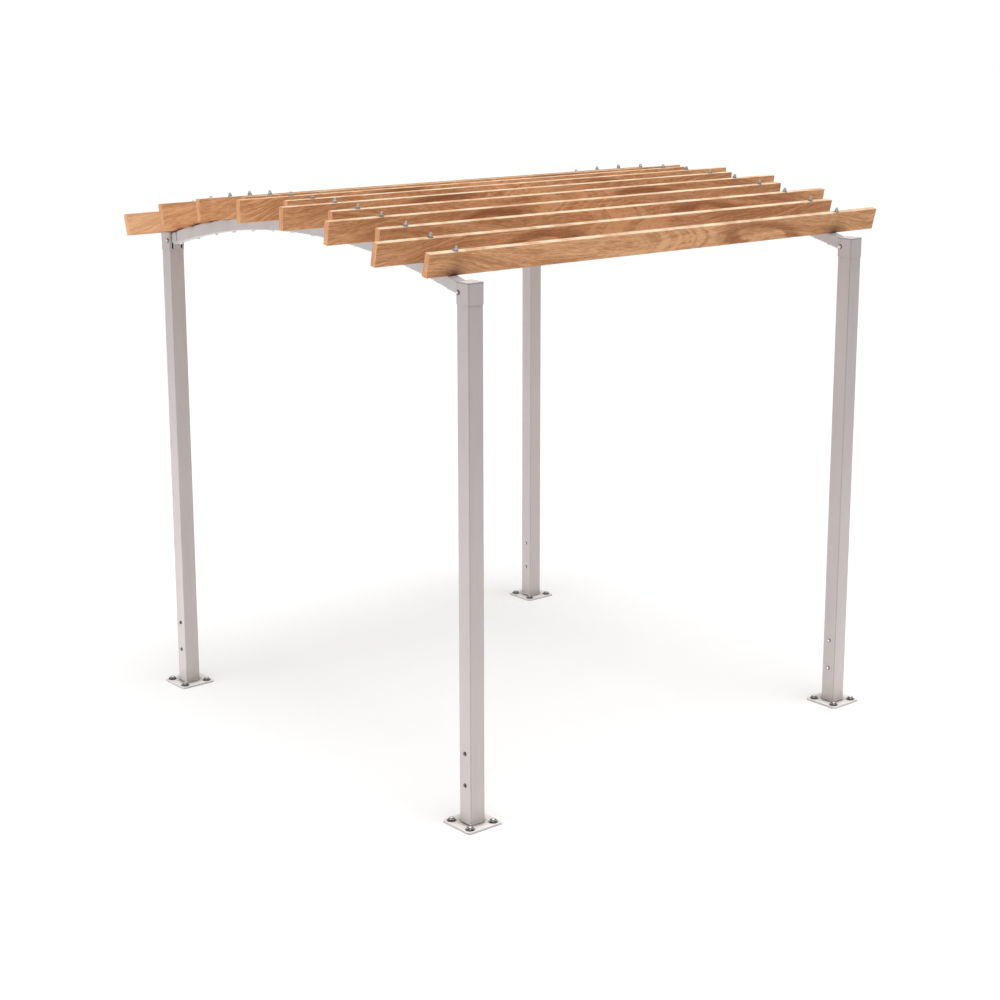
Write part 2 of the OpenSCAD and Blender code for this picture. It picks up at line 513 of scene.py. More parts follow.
def edge_wear_group():
    """Mask that is 1 on edges and corners and 0 on open faces, broken up by noise."""
    tree, bench, entry, leave = start_group(
        "edge_wear", {"Width": ("Float", 0.002), "Break up": ("Float", 0.5)}, {"Mask": "Float"})
    rounded = bench.add("Bevel", samples=6)
    bench.feed(rounded.inputs["Radius"], entry["Width"])
    flat = bench.add("NewGeometry").outputs["True Normal"]
    edge = bench.spread(bench.vector("DOT_PRODUCT", rounded.outputs[0], flat), 0.995, 0.86)
    patches = bench.spread(bench.noise(bench.place(), 38.0, 4.0, 0.65), 0.38, 0.62)
    gaps = bench.math("SUBTRACT", patches, 1.0)
    kept = bench.times_plus(gaps, entry["Break up"], 1.0)
    bench.feed(leave["Mask"], bench.times(edge, kept, clamp=True))
    return tree


def nook_group():
    """Mask that is 1 in tight corners and where parts meet. Reach is how far it looks; the mask
    is 0 where more than Open of the surroundings is free and 1 where less than Shut is."""
    tree, bench, entry, leave = start_group(
        "nook", {"Reach": ("Float", 0.05), "Open": ("Float", 0.95), "Shut": ("Float", 0.4)},
        {"Mask": "Float"})
    room = bench.add("AmbientOcclusion", samples=8)
    bench.feed(room.inputs["Distance"], entry["Reach"])
    bench.feed(leave["Mask"], bench.spread(room.outputs["AO"], entry["Open"], entry["Shut"]))
    return tree


def arris_group():
    """Mask for the rounded long edges of tubes that run across X: 1 where the surface turns from
    facing along X to facing across it, 0 on the flat sides."""
    tree, bench, entry, leave = start_group("arris", {"Start": ("Float", 0.1)}, {"Mask": "Float"})
    along = bench.math("ABSOLUTE", bench.axes(bench.facing())[0])
    squared = bench.times(along, along)
    across = bench.math("SQRT", bench.math("SUBTRACT", 1.0, squared, clamp=True))
    turned_by = bench.math("MINIMUM", along, across)
    full = bench.math("ADD", entry["Start"], 0.22)
    bench.feed(leave["Mask"], bench.spread(turned_by, entry["Start"], full))
    return tree


def powder_coat_group():
    """Stoved powder coat: orange peel, fine grain, slow changes of shade, rain streaks and dust at
    the foot."""
    tree, bench, entry, leave = start_group(
        "powder_coat",
        {"Colour": ("Color", grey(0.6)), "Dust colour": ("Color", grey(0.4)),
         "Dust height": ("Float", 0.2), "Streaks": ("Float", 0.05)}, finish_outputs)
    place = bench.place()
    slow = bench.noise(place, 2.2, 3.0)
    grain = bench.noise(place, 1400.0, 2.0)
    peel = bench.noise(place, 420.0, 2.0, 0.4)
    streak = bench.noise(bench.stretch(place, (55.0, 55.0, 1.1)), 1.0, 3.0, 0.6)
    tone = bench.math("ADD", bench.spread(slow, 0.3, 0.7, 0.975, 1.025),
                      bench.spread(grain, 0.3, 0.7, -0.02, 0.02))
    washed = bench.times(bench.spread(streak, 0.5, 0.75), entry["Streaks"])
    tone = bench.math("SUBTRACT", tone, washed)
    coat = bench.scaled(entry["Colour"], tone)
    low = bench.spread(bench.math("DIVIDE", bench.axes(place)[2], entry["Dust height"]), 1.0, 0.0)
    patches = bench.spread(bench.noise(place, 26.0, 5.0, 0.65), 0.3, 0.7, 0.35, 1.0)
    dust = bench.times(low, patches)
    bench.feed(leave["Color"], bench.blend(bench.times(dust, 0.40), coat, entry["Dust colour"]))
    rough = bench.spread(slow, 0.3, 0.7, 0.40, 0.50)
    bench.feed(leave["Roughness"], bench.times_plus(dust, 0.22, rough))
    bench.feed(leave["Height"], bench.times_plus(grain, 0.25, peel))
    return tree


def board_grain_group():
    """Timber sawn from a log. Vector is in metres in the board's own frame: X along it, Y through
    its thickness, Z up its depth. Fibres bend round two knots and a long oval of dark heartwood,
    and pale figure stands across the grain of the middle length."""
    tree, bench, entry, leave = start_group(
        "board_grain",
        {"Vector": ("Vector", (0, 0, 0)), "Seed": ("Float", 0.0),
         "End knot": ("Vector", (0, 0, 0)), "Inner knot": ("Vector", (0, 0, 0)),
         "Heart": ("Vector", (0, 0, 0)), "Figure start": ("Float", -0.35),
         "Figure end": ("Float", 0.38), "Light wood": ("Color", grey(0.6)),
         "Mid wood": ("Color", grey(0.45)), "Heart tint": ("Color", grey(0.6))}, finish_outputs)
    place, seed = entry["Vector"], entry["Seed"]
    x, y, z = bench.axes(place)
    seed_two = bench.math("ADD", seed, 5.3)
    seed_three = bench.math("ADD", seed, 11.9)

    # The grain sways along the board and rises towards both ends.
    sway = bench.noise(bench.stretch(place, (1.5, 0.0, 0.0)), 1.0, 1.0, seed=seed)
    ripple = bench.noise(bench.stretch(place, (7.0, 9.0, 12.0)), 1.0, 2.0, 0.5, seed=seed_three)
    grain = bench.times_plus(sway, 0.15, z)
    grain = bench.times_plus(ripple, 0.024, grain)
    grain = bench.math("ADD", grain, bench.spread(x, -1.45, -0.70, 0.0, 0.11))
    grain = bench.math("ADD", grain, bench.spread(x, 0.85, 1.45, 0.0, 0.12))

    # It bends round the knots.
    knot_radius = 0.052
    for knot in ("End knot", "Inner knot"):
        away = bench.stretch(bench.vector("SUBTRACT", place, entry[knot]), (0.40, 0.5, 1.0))
        near = bench.math("DIVIDE", bench.vector("LENGTH", away), knot_radius)
        grain = bench.times_plus(bench.bell(near, 0.5), -0.085, grain)

    # The heartwood is a long oval, leaning down towards the far end, dark round a light middle.
    heart_x, heart_y, heart_z = bench.axes(bench.vector("SUBTRACT", place, entry["Heart"]))
    lean = bench.times_plus(heart_x, 0.13, heart_z)
    oval = bench.spot(bench.times(heart_x, 2.9), bench.times(heart_y, 5.0), bench.times(lean, 11.5))
    uneven = bench.noise(bench.stretch(place, (5.0, 9.0, 20.0)), 1.0, 2.0, 0.5, seed=seed)
    from_heart = bench.math("SUBTRACT", bench.vector("LENGTH", oval), 0.25)
    from_heart = bench.times_plus(uneven, 0.5, from_heart)
    heart = bench.times(bench.spread(from_heart, 0.44, 0.60), bench.spread(from_heart, 1.12, 0.72))
    grain = bench.times_plus(bench.bell(from_heart, 0.9), -0.07, grain)

    # Fine growth lines, broader streaks and soft bands all run with the grain.
    def lines(across, along, detail, lot):
        """Marks that follow the grain: how many lie in a metre across it and along it."""
        spot = bench.spot(bench.times(grain, across), bench.times(x, along), bench.times(y, 60.0))
        return bench.noise(spot, 1.0, detail, 0.55, seed=lot)

    fine = lines(225.0, 13.0, 3.0, seed)
    fleck = lines(205.0, 33.0, 2.0, seed_three)
    streak = lines(60.0, 2.2, 1.0, seed_two)
    band = lines(17.0, 1.3, 1.0, seed_three)

    # Figure: bowed pale bars and close ripples across the grain.
    bow = bench.times_plus(bench.times(z, z), 19.0, x)
    bow = bench.times_plus(ripple, 0.05, bow)
    first, last = entry["Figure start"], entry["Figure end"]
    figured = bench.times(bench.spread(x, first, bench.math("ADD", first, 0.2)),
                          bench.spread(x, last, bench.math("SUBTRACT", last, 0.2)))
    bar_place = bench.spot(bench.times(bow, 12.5), bench.times(y, 20.0))
    bar = bench.spread(bench.noise(bar_place, 1.0, 2.0, 0.6, seed=seed_two), 0.43, 0.60)
    wave_place = bench.spot(bench.times(bow, 62.0), bench.times(z, 75.0), bench.times(y, 60.0))
    wave = bench.noise(wave_place, 1.0, 2.0, 0.5, seed=seed)

    # Fibres and pores, and on the sawn ends the edges of the growth rings.
    fibre = bench.noise(bench.stretch(place, (24.0, 420.0, 480.0)), 1.0, 3.0, 0.6, seed=seed)
    pore = bench.noise(bench.stretch(place, (45.0, 900.0, 1000.0)), 1.0, 1.0, seed=seed)
    pore = bench.spread(pore, 0.60, 0.72)
    cloud = bench.noise(bench.stretch(place, (2.6, 9.0, 9.0)), 1.0, 2.0, seed=seed_two)
    ring = bench.noise(bench.stretch(place, (3.0, 330.0, 16.0)), 1.0, 3.0, 0.6, seed=seed)

    # Tone goes from 0, light wood, to 1, mid wood. Each mark lightens and darkens it.
    tone = bench.spread(fine, 0.32, 0.68, -0.36, 0.36)
    tone = bench.blend_values(bench.times(figured, 0.5), tone,
                              bench.spread(wave, 0.32, 0.68, -0.34, 0.34))
    for mark, lighter, darker in ((fleck, -0.24, 0.24), (streak, -0.26, 0.20), (band, -0.18, 0.20)):
        tone = bench.math("ADD", tone, bench.spread(mark, 0.32, 0.68, lighter, darker))
    for mark, amount in ((fibre, 0.14), (cloud, 0.12)):
        tone = bench.math("ADD", tone, bench.spread(mark, 0.3, 0.7, -amount, amount))
    tone = bench.times_plus(bench.times(bar, figured), -0.60, tone)
    tone = bench.math("ADD", tone, 0.58, clamp=True)
    wood = bench.blend(tone, entry["Light wood"], entry["Mid wood"])
    wood = bench.blend(heart, wood, entry["Heart tint"], "MULTIPLY")
    wood = bench.scaled(wood, bench.darkened(None, pore, 0.12))
    sawn_end = bench.spread(bench.math("ABSOLUTE", bench.axes(bench.facing())[0]), 0.5, 0.9)
    end_wood = bench.blend(bench.spread(ring, 0.3, 0.7), entry["Light wood"], entry["Mid wood"])
    bench.feed(leave["Color"], bench.blend(bench.times(sawn_end, 0.8), wood, end_wood))

    rough = bench.spread(fibre, 0.3, 0.7, 0.46, 0.58)
    bench.feed(leave["Roughness"], bench.times_plus(pore, 0.2, rough))
    height = bench.times_plus(fine, 0.35, bench.times(fibre, 0.5))
    bench.feed(leave["Height"], bench.times_plus(pore, -0.6, height))
    return tree


def plated_group():
    """Zinc plate: clouded crystals and fine turning marks, with painted reflection: what faces
    along Axis, the fastener's own axis, is painted bright as a highlight, and the flanks are
    painted in the dark Flank colour as reflected shade, as is the washer, which Seat masks."""
    tree, bench, entry, leave = start_group(
        "zinc_plate",
        {"Bright": ("Color", grey(0.6)), "Dull": ("Color", grey(0.3)),
         "Flank": ("Color", grey(0.1)), "Axis": ("Vector", (0, 0, 1)), "Seat": ("Float", 0.0)},
        finish_outputs)
    place = bench.place()
    cloud = bench.noise(place, 260.0, 4.0, 0.6)
    marks = bench.noise(bench.stretch(place, (900.0, 900.0, 5200.0)), 1.0, 2.0)
    crystal = bench.add("TexVoronoi", feature="F1")
    bench.feed(crystal.inputs["Vector"], place)
    crystal.inputs["Scale"].default_value = 700.0
    lot = bench.add("SeparateColor")
    bench.feed(lot.inputs[0], crystal.outputs["Color"])
    clouded = bench.spread(cloud, 0.35, 0.7, 0.0, 0.75)
    worn = bench.times_plus(lot.outputs[0], 0.25, clouded)
    skin = bench.blend(worn, entry["Bright"], entry["Dull"])
    turned_to = bench.math("ABSOLUTE", bench.vector("DOT_PRODUCT", bench.facing(), entry["Axis"]))
    flank = bench.math("MAXIMUM", bench.spread(turned_to, 0.95, 0.72), entry["Seat"])
    bench.feed(leave["Color"], bench.blend(bench.times(flank, 0.94), skin, entry["Flank"]))
    rough = bench.times_plus(worn, 0.22, 0.2)
    bench.feed(leave["Roughness"], bench.times_plus(flank, 0.2, rough))
    bench.feed(leave["Height"], bench.times_plus(marks, 0.4, cloud))
    return tree


edge_wear = edge_wear_group()
nook = nook_group()
arris = arris_group()
powder_coat = powder_coat_group()
board_grain = board_grain_group()
zinc_plate = plated_group()


def start_material(name):
    """New material with one Principled shader; returns it, its bench and the shader."""
    material = bpy.data.materials.new(name)
    material.use_nodes = True
    return material, Bench(material.node_tree), material.node_tree.nodes["Principled BSDF"]


def relief(bench, shader, height, distance):
    """Feeds a bump of the given depth in metres to the shader."""
    bump = bench.add("Bump")
    bump.inputs["Distance"].default_value = distance
    bench.feed(bump.inputs["Height"], height)
    bench.feed(shader.inputs["Normal"], bump.outputs[0])


# Depth of each finish's bump, and width of the wear on its edges, in metres.
coat_relief, coat_wear = 0.00012, 0.0022
wood_relief, wood_wear = 0.0004, 0.0035
zinc_relief, zinc_wear = 0.00004, 0.0008


def coated_steel(name, colour, edge_colour, dust_height=0.16, streaks=0.05, line=0.26, nook_shade=0.30,
                 reach=0.09, clear=0.98, sides=1.0, painted_underside=1.0, rim=None, ripple=None):
    """Powder-coated steel, paler on worn edges. Line is painted shade that darkens rounded arrises,
    and the nook shade is painted shade in nooks and creases, as far out as reach; clear is how open
    a spot must be to stay free of that painted shade. Sides sets painted shade: how bright the
    upright sides of a flat part are beside its top; the painted underside sets how bright
    undersides are painted, painted light where it is over 1; rim is the height of a thin painted
    shade along the top; and ripple is the number of weld ripples in a metre."""
    material, bench, shader = start_material(name)
    coat = bench.group(powder_coat, Colour=colour, Dust_colour=dust_colour,
                       Dust_height=dust_height, Streaks=streaks)
    worn = bench.group(edge_wear, Width=coat_wear, Break_up=0.45)["Mask"]
    paint = bench.blend(bench.times(worn, 0.5), coat["Color"], edge_colour)
    # Painted shade: rounded arrises, nooks and creases are painted darker where shade falls.
    shade = bench.darkened(None, bench.group(arris, Start=0.1)["Mask"], line)
    wide = bench.group(nook, Reach=reach, Open=clear, Shut=0.45)["Mask"]
    upward = bench.axes(bench.facing())[2]
    # Painted shade: the upright sides of a flat part are painted darker than its top.
    if sides != 1.0:
        lying = bench.spread(upward, 0.5, 0.9)
        wide = bench.times(wide, lying)
        standing = bench.times_plus(lying, 1.0 - sides, sides)
        shade = bench.times(shade, standing)
    shade = bench.darkened(shade, wide, nook_shade)
    tight = bench.group(nook, Reach=0.012, Open=0.75, Shut=0.2)["Mask"]
    shade = bench.darkened(shade, tight, min(nook_shade, 0.3))
    # Painted light and shade: undersides are painted lighter or darker by a factor.
    if painted_underside != 1.0:
        shade = bench.times(shade, bench.spread(upward, -0.35, -0.80, 1.0, painted_underside))
    # Painted shade: a thin dark band is painted just below the top, as the shadow under the lid.
    if rim:
        below = bench.math("SUBTRACT", bench.axes(bench.place())[2], rim)
        shade = bench.times(shade, bench.spread(below, -0.008, -0.003, 1.0, 0.62))
    bench.feed(shader.inputs["Base Color"], bench.scaled(paint, shade))
    bench.feed(shader.inputs["Roughness"], bench.times_plus(worn, -0.08, coat["Roughness"]))
    height = coat["Height"]
    if ripple:
        waves = bench.noise(bench.place(), ripple, 1.0)
        height = bench.times_plus(waves, 9.0, height)
    relief(bench, shader, height, coat_relief)
    shader.inputs["Specular IOR Level"].default_value = 0.45
    return material


def slat_timber(slat, number):
    """Oiled hardwood of one slat. Every second board lies the other way round."""
    material, bench, shader = start_material(f"slat_wood_{number:02d}")
    board = bench.add("Mapping", vector_type="TEXTURE")
    bench.feed(board.inputs["Vector"], bench.place())
    board.inputs["Location"].default_value = middle(slat)
    board.inputs["Rotation"].default_value = (-slat_angle(slat), 0, 0)
    place = board.outputs[0]
    if number % 2 == 0:
        place = bench.stretch(place, (-1.0, -1.0, 1.0))
    drift = 0.03 * math.sin(number * 2.4)
    grain = bench.group(
        board_grain, Vector=place, Seed=number * 3.7, End_knot=(-1.51 + drift, 0.01, -0.042),
        Inner_knot=(1.20 + drift, -0.01, -0.060 + 0.4 * drift),
        Heart=(0.63 + drift, 0.0, -0.034 + 0.3 * drift), Figure_start=-0.36 + drift,
        Figure_end=0.42 + drift, Light_wood=light_wood, Mid_wood=mid_wood, Heart_tint=heart_tint)
    wood = grain["Color"]
    if number in painted_tone:
        share, tint = painted_tone[number]
        wood = bench.blend(share, wood, tint)

    # Painted light: the upper edge is painted paler in uneven patches where the top light falls;
    # painted bounce light and shade: the underside is painted a deep orange.
    upward = bench.axes(bench.facing())[2]
    lit_top = bench.spread(upward, 0.45, 0.93)
    patches = bench.noise(bench.stretch(place, (6.0, 0.0, 0.0)), 1.0, 3.0, 0.6, seed=number * 1.9)
    patches = bench.spread(patches, 0.38, 0.60, 0.30, 0.97)
    wood = bench.blend(bench.times(lit_top, patches), wood, top_lit_wood)
    painted_underside = bench.spread(upward, -0.20, -0.60)
    wood = bench.blend(bench.times(painted_underside, 0.85), wood, underside_bounce_wood)
    worn = bench.group(edge_wear, Width=wood_wear, Break_up=0.3)["Mask"]
    wood = bench.blend(bench.times(worn, 0.25), wood, worn_wood)

    # Painted shade: the corner over each beam is painted dark, and the seat itself near black.
    corner = bench.group(nook, Reach=0.15, Open=0.95, Shut=0.62)["Mask"]
    wood = bench.blend(bench.times(corner, 0.92), wood, corner_shade)
    seat = bench.group(nook, Reach=0.028, Open=0.80, Shut=0.61)["Mask"]
    bench.feed(shader.inputs["Base Color"], bench.scaled(wood, bench.darkened(None, seat, 0.93)))
    bench.feed(shader.inputs["Roughness"], grain["Roughness"])
    relief(bench, shader, grain["Height"], wood_relief)
    shader.inputs["Specular IOR Level"].default_value = 0.25
    return material


def plated_steel(name, bright, dull, flank, axis, edge=(0.85, 0.85, 0.84, 1), rim=0.0, seat=None):
    """Zinc-plated steel of the fasteners; axis is the way that they point. Rim is painted
    reflection: it darkens what is seen at a low angle. Seat is, for fasteners whose washer is
    painted dark as shade, the middle and half width along the axis of the part that they clamp, and
    the washer's height."""
    material, bench, shader = start_material(name)
    washed = 0.0
    if seat:
        clamp_middle, clamp_half, washer_top = seat
        along = bench.math("ABSOLUTE", bench.vector("DOT_PRODUCT", bench.place(), axis))
        above = bench.math("ABSOLUTE", bench.math("SUBTRACT", along, clamp_middle))
        washed = bench.spread(above, clamp_half + washer_top * 1.3, clamp_half + washer_top * 1.05)
    plate = bench.group(zinc_plate, Bright=bright, Dull=dull, Flank=flank, Axis=axis, Seat=washed)
    worn = bench.group(edge_wear, Width=zinc_wear, Break_up=0.5)["Mask"]
    metal = bench.blend(bench.times(worn, 0.4), plate["Color"], edge)
    # Painted shade in the crevices of each fastener.
    shade = bench.darkened(None, bench.group(nook, Reach=0.008, Open=0.8, Shut=0.3)["Mask"], 0.6)
    # Painted reflection: what is seen at a low angle is painted darker.
    if rim:
        turned_away = bench.spread(bench.add("LayerWeight").outputs["Facing"], 0.40, 0.72)
        shade = bench.darkened(shade, turned_away, rim)
    bench.feed(shader.inputs["Base Color"], bench.scaled(metal, shade))
    bench.feed(shader.inputs["Roughness"], plate["Roughness"])
    shader.inputs["Metallic"].default_value = 1.0
    relief(bench, shader, plate["Height"], zinc_relief)
    return material


# ---- finishes of the CAD parts

# Colours of the powder coat, paler on plates and lids; the sleeve colour is painted lighter than
# the post's, painted light in the shaded gap at the post's foot.
warm_grey = (0.518, 0.470, 0.459, 1)
beam_grey = (0.541, 0.515, 0.516, 1)
pale_grey = (0.87, 0.825, 0.81, 1)
sleeve_grey = (0.62, 0.575, 0.56, 1)
lid_grey = (0.80, 0.772, 0.748, 1)
coat_edge = (0.76, 0.73, 0.71, 1)
plate_edge = (0.86, 0.83, 0.81, 1)
dust_colour = (0.36, 0.32, 0.28, 1)

# Colours of the slats.
light_wood = (0.93, 0.515, 0.261, 1)
mid_wood = (0.567, 0.248, 0.105, 1)
heart_tint = (0.66, 0.55, 0.49, 1)
# The lit-top, underside and corner colours below paint light and shade on the slats; the worn
# colour is wear.
top_lit_wood = (0.98, 0.81, 0.57, 1)
underside_bounce_wood = (0.70, 0.26, 0.06, 1)
worn_wood = (0.84, 0.50, 0.26, 1)
corner_shade = (0.18, 0.062, 0.022, 1)
shaded_wood = (0.30, 0.12, 0.05, 1)
sky_lit_wood = (0.98, 0.66, 0.42, 1)

# Painted light and shade on the rear boards: two are painted darker, and the last, whose face tips
# up towards the sky, is painted lighter.
painted_tone = {12: (0.10, shaded_wood), 13: (0.12, shaded_wood), 14: (0.33, sky_lit_wood)}

# A dust height this small leaves a part clean.
no_dust = 0.001

finishes = {
    "post_": coated_steel("post_steel", warm_grey, coat_edge, nook_shade=0.24),
    "plate_": coated_steel("plate_steel", pale_grey, plate_edge, dust_height=no_dust, streaks=0.0,
                           line=0.0, nook_shade=0.95, reach=0.055, clear=0.93, sides=0.55),
    # Painted light: the sleeve is given a lighter colour and no nook shade, to light the shaded gap
    # at the post's foot.
    "sleeve_": coated_steel("sleeve_steel", sleeve_grey, coat_edge, dust_height=no_dust,
                            nook_shade=0.0),
    "collar_": coated_steel("head_steel", warm_grey, coat_edge, line=0.18, nook_shade=0.14,
                            rim=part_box("collar_front_left")[1].z),
    "cap_": coated_steel("cap_steel", lid_grey, coat_edge, streaks=0.0, line=0.0),
    # The beam's undersides are painted lighter: painted light.
    "beam_": coated_steel("beam_steel", beam_grey, coat_edge, streaks=0.03, line=0.10,
                          nook_shade=0.08, painted_underside=1.45),
}


def dress(node, finish):
    """Puts one material on a CAD node."""
    for slot in frame["nodes"][node].material_slots:
        slot.material = finish


for node in frame["nodes"]:
    for start, finish in finishes.items():
        if node.startswith(start):
            dress(node, finish)
for number, slat in enumerate(slats, 1):
    dress(slat, slat_timber(slat, number))


# ---- fasteners

def half_width(node):
    """Half of a node's width along X."""
    low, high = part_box(node)
    return (high.x - low.x) / 2


plate_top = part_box("plate_front_left")[1].z

# Ways that fasteners point, and the colour of a worn edge on dark ones.
upright = (0, 0, 1)
sideways = (1, 0, 0)
grey_edge = (0.4, 0.4, 0.39, 1)

# Each finish has its bright, its dull and its flank colour: the bright one is painted highlight and
# the flank one painted reflection and shade.
zinc = plated_steel("bolt_zinc", (0.86, 0.86, 0.85, 1), (0.56, 0.56, 0.56, 1),
                    (0.30, 0.315, 0.325, 1), upright, rim=0.25)
# Painted sheen: the bolt heads under the beams are painted pale, for their glossy highlight.
sheen_zinc = plated_steel("sheen_zinc", (0.86, 0.85, 0.84, 1), (0.74, 0.73, 0.72, 1),
                         (0.70, 0.69, 0.68, 1), upright)
# Painted reflection: the anchors' flanks are near black, and what is seen at a low angle, the
# washer among it, is painted strongly darker round a bright top.
anchor_zinc = plated_steel("anchor_zinc", (0.95, 0.94, 0.92, 1), (0.74, 0.73, 0.71, 1),
                           (0.035, 0.035, 0.035, 1), upright, edge=grey_edge, rim=0.80)
# Painted shade: the washers of head bolts and foot screws are painted dark, by Seat.
head_zinc = plated_steel("head_bolt_zinc", (0.76, 0.73, 0.68, 1), (0.56, 0.54, 0.49, 1),
                         (0.15, 0.15, 0.145, 1), sideways, edge=(0.3, 0.29, 0.27, 1),
                         seat=(beam_x, half_width("collar_front_left"), head_washer_height))
screw_zinc = plated_steel("screw_zinc", (0.90, 0.90, 0.88, 1), (0.66, 0.66, 0.65, 1),
                          (0.08, 0.08, 0.08, 1), sideways,
                          seat=(beam_x, half_width("post_front_left"), screw_washer_height))
black_zinc = plated_steel("black_zinc", (0.22, 0.22, 0.215, 1), (0.12, 0.12, 0.12, 1),
                          (0.035, 0.035, 0.035, 1), sideways, edge=grey_edge)


def spun(first, step, index):
    """Turn of one fastener of a row about its own axis, so that no two sit alike."""
    return Matrix.Rotation(first + index * step, 4, "Z")


def off_the_ends(co, low, high):
    """True for what is well inside the ends of a slat: the rims of its bolt holes."""
    inset = 0.02
    return low.x + inset < co.x < high.x - inset


def slat_bolts():
    """One row of bolts through the slats over each beam, nuts on top and heads below."""
    slat_top = edge_reach(slats[0], slat_angle(slats[0]))[1]
    beam_foot = min((point - Vector((point.x, arch_centre.y, arch_centre.z))).length
                    for point in node_points("beam_left", anywhere))
    rows = hole_middles([point.x for point in node_points(slats[0], off_the_ends)])
    kinds = (("slat_bolts", bolt(slat_top - beam_foot), slat_top, zinc),
             ("slat_bolt_heads", bolt_head(), beam_foot, sheen_zinc))
    for label, pattern, reach, finish in kinds:
        for side, x in zip(("left", "right"), rows):
            places = [on_arch(slat_angle(slat), x, reach) @ spun(0, 0.7, index)
                      for index, slat in enumerate(slats)]
            finish_piece(laid_out(f"{label}_{side}", pattern, places), finish)
        bpy.data.objects.remove(pattern)


def through_posts(hole_node, keep, hold, pieces):
    """Fasteners along X through all four posts, at the holes that hole_node's mesh shows, seated
    on the sides of hold. Pieces holds, for the outer and the inner side, a name, a maker of the
    pattern and a finish."""
    patterns = {}
    for corner in corners:
        low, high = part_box(f"{hold}_{corner}")
        rim = node_points(f"{hole_node}_{corner}", keep)
        y = hole_middles([point.y for point in rim])[0]
        heights = hole_middles([point.z for point in rim])
        outward = math.copysign(1, low.x)
        for side, (label, make, finish) in zip((outward, -outward), pieces):
            if label not in patterns:
                patterns[label] = make(high.x - low.x)
            face = high.x if side > 0 else low.x
            turn = Matrix.Rotation(math.copysign(math.pi / 2, side), 4, "Y")
            places = [Matrix.Translation((face, y, z)) @ turn @ spun(0.3, 0.5, index)
                      for index, z in enumerate(heights)]
            row = laid_out(f"{label}_{corner}", patterns[label], places)
            finish_piece(row, finish)
    for pattern in patterns.values():
        bpy.data.objects.remove(pattern)


def on_collar_side(co, low, high):
    """True for the rims of the head bolt holes on the outer sides of a collar."""
    skin, inset_z, inset_y = 0.0005, 0.004, 0.012
    return (min(abs(co.x - low.x), abs(co.x - high.x)) < skin
            and low.z + inset_z < co.z < high.z - inset_z
            and low.y + inset_y < co.y < high.y - inset_y)


def on_sleeve_screws(co, low, high):
    """True for the rims of the screw holes of a sleeve."""
    inset = 0.01
    return low.z + inset < co.z < high.z - inset and low.y + inset < co.y < high.y - inset


def head_bolts():
    """Bolts that hold the beam ends in the post heads."""
    through_posts("collar", on_collar_side, "collar",
                  [("head_bolt", head_bolt_outside, head_zinc),
                   ("head_nut", head_bolt_inside, head_zinc)])


def foot_screws():
    """Two screws through the foot of each post and its sleeve."""
    through_posts("sleeve", on_sleeve_screws, "post",
                  [("foot_screw", foot_screw_head, black_zinc),
                   ("foot_nut", foot_screw_nut, screw_zinc)])


def anchors():
    """Four ground anchors on each base plate, at the holes that the record states."""
    pattern = anchor(plate_top)
    for mount in frame["record"]["mounts"]:
        if mount["kind"] != "bolt_pattern":
            continue
        half_x = mount["dims"]["spacing_x_mm"] / 2000
        half_y = mount["dims"]["spacing_y_mm"] / 2000
        foot = Vector(mount["pos_m"])
        places = []
        for index, (along, across) in enumerate([(-1, -1), (1, -1), (1, 1), (-1, 1)]):
            spot = foot + Vector((along * half_x, across * half_y, plate_top))
            places.append(Matrix.Translation(spot) @ spun(0.4, 0.9, index))
        name = mount["name"].replace("anchors", "anchor_nuts")
        finish_piece(laid_out(name, pattern, places), anchor_zinc)
    bpy.data.objects.remove(pattern)


def weld_bead(corner, finish):
    """Fillet weld round the foot of a sleeve, run on to the base plate."""
    low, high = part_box(f"sleeve_{corner}")
    centre = (low + high) / 2
    width = high.x - low.x
    half_leg = weld_leg / 2
    clear_selection()
    bpy.ops.mesh.primitive_cube_add(
        size=1, location=(centre.x, centre.y, plate_top + half_leg - sunk),
        scale=(width, width, weld_leg))
    bead = bpy.context.object
    bead.name = bead.data.name = f"weld_{corner}"
    bpy.ops.object.transform_apply(location=True, rotation=True, scale=True)
    bpy.ops.object.mode_set(mode="EDIT")
    pick_parts(bead, "EDGE", lambda edge: abs(edge.verts[0].co.z - edge.verts[1].co.z) > half_leg)
    bpy.ops.mesh.bevel(offset=weld_corner, segments=4)
    pick_parts(bead, "VERT", lambda vertex: vertex.co.z < plate_top + half_leg)
    grow = 1 + 2 * weld_leg / width
    bpy.ops.transform.resize(value=(grow, grow, 1), center_override=(centre.x, centre.y, 0))
    bpy.ops.object.mode_set(mode="OBJECT")
    smooth(bead, 50)
    return finish_piece(bead, finish)


slat_bolts()
head_bolts()
foot_screws()
anchors()
# Painted light: the weld takes the sleeve's lighter colour and no nook shade.
weld_coat = coated_steel("weld_coat", sleeve_grey, coat_edge, dust_height=no_dust, nook_shade=0.0,
                         ripple=160.0)
for corner in corners:
    weld_bead(corner, weld_coat)


# ---- floor, light and camera

def seen_directly(bench):
    """1 for rays from the camera, in mirrors and through glass, 0 for the light on the object."""
    path = bench.add("LightPath").outputs
    seen = bench.math("ADD", path["Is Camera Ray"], path["Is Glossy Ray"])
    return bench.math("ADD", seen, path["Is Transmission Ray"], clamp=True)


def white_surroundings(light):
    """World that lights the object evenly with the given strength and looks plain white."""
    world = bpy.data.worlds.new("studio")
    bpy.context.scene.world = world
    world.use_nodes = True
    bench = Bench(world.node_tree)
    background = world.node_tree.nodes["Background"]
    background.inputs["Color"].default_value = (1, 1, 1, 1)
    strength = bench.times_plus(seen_directly(bench), 1.0 - light, light)
    bench.feed(background.inputs["Strength"], strength)


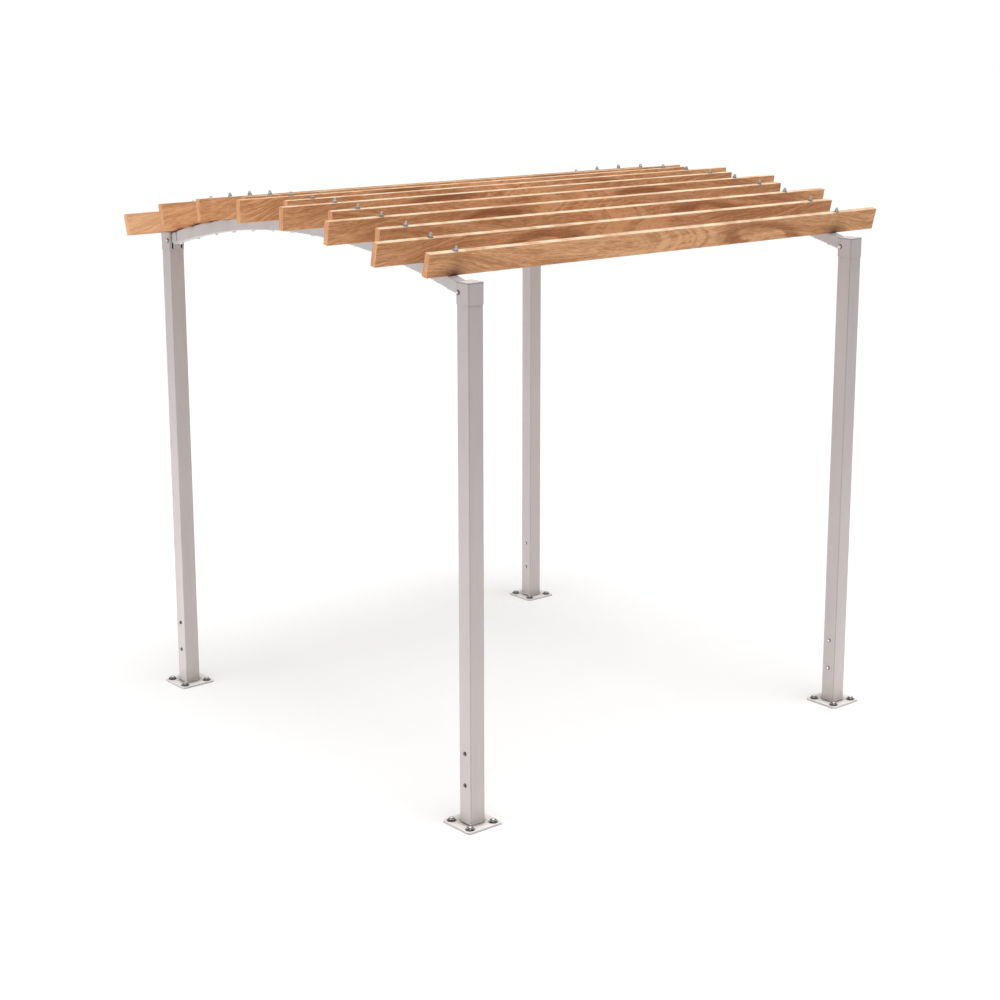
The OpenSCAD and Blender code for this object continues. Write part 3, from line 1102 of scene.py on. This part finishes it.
def studio_floor(width=160, clearance=0.0005):
    """Plain pale floor, just clear of the base plates, that keeps the object's soft shadow."""
    clear_selection()
    bpy.ops.mesh.primitive_plane_add(size=width, location=(0, 0, -clearance))
    floor = bpy.context.object
    floor.name = "studio_floor"
    bpy.ops.object.transform_apply(location=True, rotation=True, scale=True)
    material, bench, shader = start_material("floor_paint")
    shader.inputs["Base Color"].default_value = grey(0.82)
    shader.inputs["Roughness"].default_value = 0.9
    shader.inputs["Specular IOR Level"].default_value = 0.0
    shader.inputs["Emission Color"].default_value = (1, 1, 1, 1)
    bench.feed(shader.inputs["Emission Strength"], bench.times(seen_directly(bench), 0.2))
    floor.data.materials.append(material)


def soft_box(name, place, aim, size, watts, spread=180):
    """Rectangular lamp, unseen by the camera: size is its width and height, spread its beam in
    degrees."""
    lamp = bpy.data.lights.new(name, "AREA")
    lamp.shape = "RECTANGLE"
    lamp.size, lamp.size_y = size
    lamp.energy = watts
    lamp.spread = math.radians(spread)
    holder = bpy.data.objects.new(name, lamp)
    holder.location = place
    holder.rotation_euler = Vector(aim).to_track_quat("-Z", "Y").to_euler()
    holder.visible_camera = False
    bpy.context.scene.collection.objects.link(holder)


def soft_sun(name, heading, height, strength, softness):
    """Sun lamp with a wide disc. Heading is where it stands, from +X towards +Y. Heading, height
    and softness are angles in degrees."""
    lamp = bpy.data.lights.new(name, "SUN")
    lamp.energy = strength
    lamp.angle = math.radians(softness)
    holder = bpy.data.objects.new(name, lamp)
    holder.rotation_euler = (0, math.radians(90 - height), math.radians(heading))
    bpy.context.scene.collection.objects.link(holder)


def view_camera(place, down, heading, lens, shift):
    """Camera that looks down from level and round from +Y by the given degrees."""
    camera = bpy.data.cameras.new("camera")
    camera.lens = lens
    camera.sensor_width = 36
    camera.shift_x, camera.shift_y = shift
    camera.clip_end = 400
    holder = bpy.data.objects.new("camera", camera)
    holder.location = place
    holder.rotation_euler = (math.radians(90 - down), 0, math.radians(heading))
    bpy.context.scene.collection.objects.link(holder)
    bpy.context.scene.camera = holder


white_surroundings(0.38)
studio_floor()
soft_sun("top", heading=270, height=80, strength=2.0, softness=30)
soft_box("left_box", (-8, 1.0, 1.6), (1, 0, 0), (6, 3), 120)
soft_box("left_low", (-9.5, 2.0, 0.3), (1, 0, -0.06), (8, 0.8), 50, spread=42)
soft_box("front_low", (2, -8, 0.3), (0, 1, -0.07), (8, 0.8), 36, spread=48)
# From the left front, a metre above the slats, looking slightly down at the whole pergola.
view_camera((-6.629, -7.922, 3.774), 12.81, -40.03, lens=69.8, shift=(-0.0098, -0.0566))
bpy.context.scene.view_settings.view_transform = "Standard"
